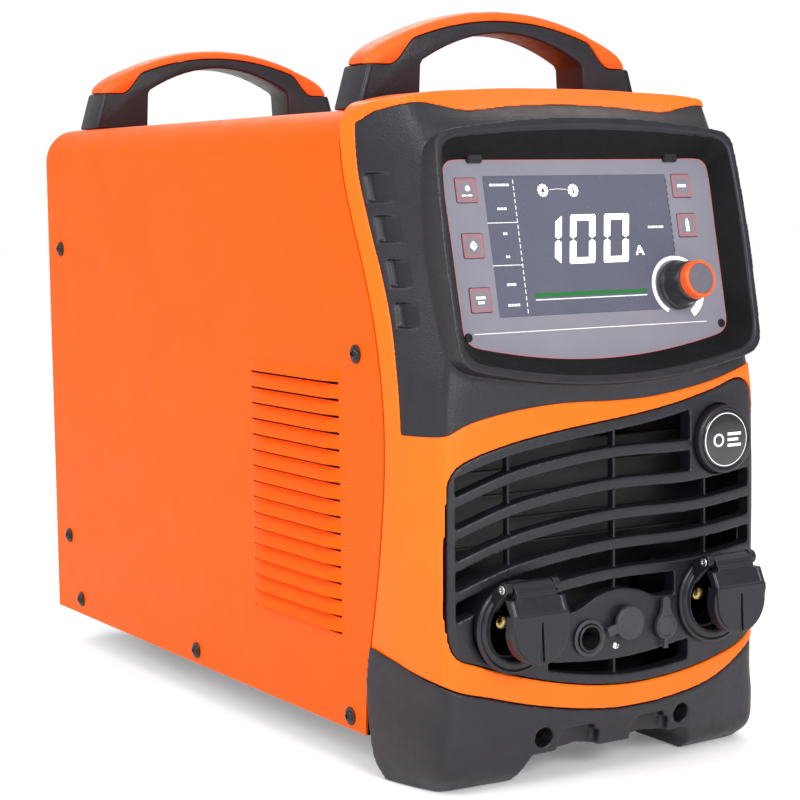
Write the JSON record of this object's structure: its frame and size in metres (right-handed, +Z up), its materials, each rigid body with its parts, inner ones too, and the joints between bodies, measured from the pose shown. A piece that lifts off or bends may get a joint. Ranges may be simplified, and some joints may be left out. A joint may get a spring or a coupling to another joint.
{
  "type": "plasma cutter unit",
  "caption": "Inverter plasma cutter power unit with sheet case, moulded front, display panel, lidded sockets and carrying handles.",
  "frame": {"origin": "on the floor plane, under the middle of the whole unit", "axes": "+Z up, -Y out of the display front, +X to the right as the front is faced"},
  "size_m": [0.2766, 0.6404, 0.48],
  "materials": {
    "orange_case": "satin powder coat",
    "orange_moulding": "satin",
    "black_moulding": "fine-textured, matte",
    "orange_grip": "satin, slightly soft",
    "zinc_sheet": "zinc plated",
    "black_sheet": "matte powder coat",
    "rubber": "matte",
    "gloss_black": "gloss",
    "panel_film": "satin film",
    "display_window": "gloss",
    "key": "satin",
    "knob_black": "satin",
    "knob_orange": "satin",
    "steel": "bright",
    "socket_black": "satin",
    "brass": "brass",
    "soft_black": "matte",
    "circuit_board": "solder mask",
    "bare_aluminium": "extruded",
    "ferrite": "matte core",
    "lever_grey": "satin",
    "screw_black": "black zinc"
  },
  "bodies": {
    "unit": {"air_inlet": "brass", "badge": "gloss_black", "base_pan": "zinc_sheet", "cable_gland": "socket_black", "case_screw_left_1": "screw_black", "case_screw_left_2": "screw_black", "case_screw_left_3": "screw_black", "case_screw_left_4": "screw_black", "case_screw_left_5": "screw_black", "case_screw_left_6": "screw_black", "case_screw_right_1": "screw_black", "case_screw_right_2": "screw_black", "case_screw_right_3": "screw_black", "case_screw_right_4": "screw_black", "case_screw_right_5": "screw_black", "case_screw_right_6": "screw_black", "control_board": "circuit_board", "display_fascia": "panel_film", "display_glass": "display_window", "display_hood": "black_moulding", "encoder_body": "steel", "fan_frame": "socket_black", "fan_guard": "steel", "front_bezel": "orange_moulding", "front_bumper": "black_moulding", "front_grille": "black_moulding", "front_handle": "black_moulding", "front_handle_grip": "orange_grip", "heat_sink": "bare_aluminium", "inverter_board": "circuit_board", "left_hinge_pin": "steel", "left_socket_contact": "brass", "left_socket_housing": "socket_black", "main_transformer": "ferrite", "outer_cover": "orange_case", "power_switch": "socket_black", "rear_foot_left": "rubber", "rear_foot_right": "rubber", "rear_handle": "black_moulding", "rear_handle_grip": "orange_grip", "rear_panel": "black_sheet", "right_hinge_pin": "steel", "right_socket_contact": "brass", "right_socket_housing": "socket_black", "solenoid_valve": "brass", "torch_connector": "socket_black"},
    "left_lid": {"left_socket_lid": "socket_black"},
    "right_lid": {"right_socket_lid": "socket_black"},
    "torch_dust_cap": {"torch_cap": "soft_black"},
    "control_dust_cap": {"control_cap": "soft_black"},
    "encoder": {"encoder_shaft": "steel"},
    "knob": {"knob_body": "knob_black", "knob_ring": "knob_orange"},
    "fan": {"fan_rotor": "socket_black"},
    "switch_lever": {"power_switch_lever": "lever_grey"},
    "button_left_upper": {"button_left_upper": "key"},
    "button_left_middle": {"button_left_middle": "key"},
    "button_left_lower": {"button_left_lower": "key"},
    "button_right_upper": {"button_right_upper": "key"},
    "button_right_lower": {"button_right_lower": "key"}
  },
  "joints": [
    {"name": "left_lid_hinge", "type": "hinge", "parent": "unit", "child": "left_lid", "pos_m": [-0.077, -0.3067, 0.1288], "axis": [-1, 0, 0], "range_deg": [-18, 95], "stiffness_Nm_per_rad": 0.15},
    {"name": "right_lid_hinge", "type": "hinge", "parent": "unit", "child": "right_lid", "pos_m": [0.077, -0.3067, 0.1288], "axis": [-1, 0, 0], "range_deg": [-18, 95], "stiffness_Nm_per_rad": 0.15},
    {"name": "torch_cap_hinge", "type": "hinge", "parent": "unit", "child": "torch_dust_cap", "pos_m": [-0.0087, -0.2973, 0.09155], "axis": [0.2393, 0, -0.971], "range_deg": [0, 178]},
    {"name": "control_cap_hinge", "type": "hinge", "parent": "unit", "child": "control_dust_cap", "pos_m": [0.0356, -0.295, 0.1057], "axis": [-1, 0, 0], "range_deg": [0, 110]},
    {"name": "button_left_upper_press", "type": "slide", "parent": "unit", "child": "button_left_upper", "axis": [0, 0.9781, -0.2079], "range_m": [0, 0.001], "stiffness_N_per_m": 600},
    {"name": "button_left_middle_press", "type": "slide", "parent": "unit", "child": "button_left_middle", "axis": [0, 0.9781, -0.2079], "range_m": [0, 0.001], "stiffness_N_per_m": 600},
    {"name": "button_left_lower_press", "type": "slide", "parent": "unit", "child": "button_left_lower", "axis": [0, 0.9781, -0.2079], "range_m": [0, 0.001], "stiffness_N_per_m": 600},
    {"name": "button_right_upper_press", "type": "slide", "parent": "unit", "child": "button_right_upper", "axis": [0, 0.9781, -0.2079], "range_m": [0, 0.001], "stiffness_N_per_m": 600},
    {"name": "button_right_lower_press", "type": "slide", "parent": "unit", "child": "button_right_lower", "axis": [0, 0.9781, -0.2079], "range_m": [0, 0.001], "stiffness_N_per_m": 600},
    {"name": "encoder_press", "type": "slide", "parent": "unit", "child": "encoder", "axis": [0, 0.9781, -0.2079], "range_m": [0, 0.0006], "stiffness_N_per_m": 1500},
    {"name": "knob_turn", "type": "hinge", "parent": "encoder", "child": "knob", "pos_m": [0.0638, -0.27053, 0.30154], "axis": [0, -0.9781, 0.2079], "continuous": true},
    {"name": "fan_spin", "type": "hinge", "parent": "unit", "child": "fan", "pos_m": [0, 0.2699, 0.15], "axis": [0, 1, 0], "continuous": true},
    {"name": "power_switch_toggle", "type": "hinge", "parent": "unit", "child": "switch_lever", "pos_m": [-0.065, 0.2802, 0.325], "axis": [-1, 0, 0], "range_deg": [0, 60]}
  ]
}
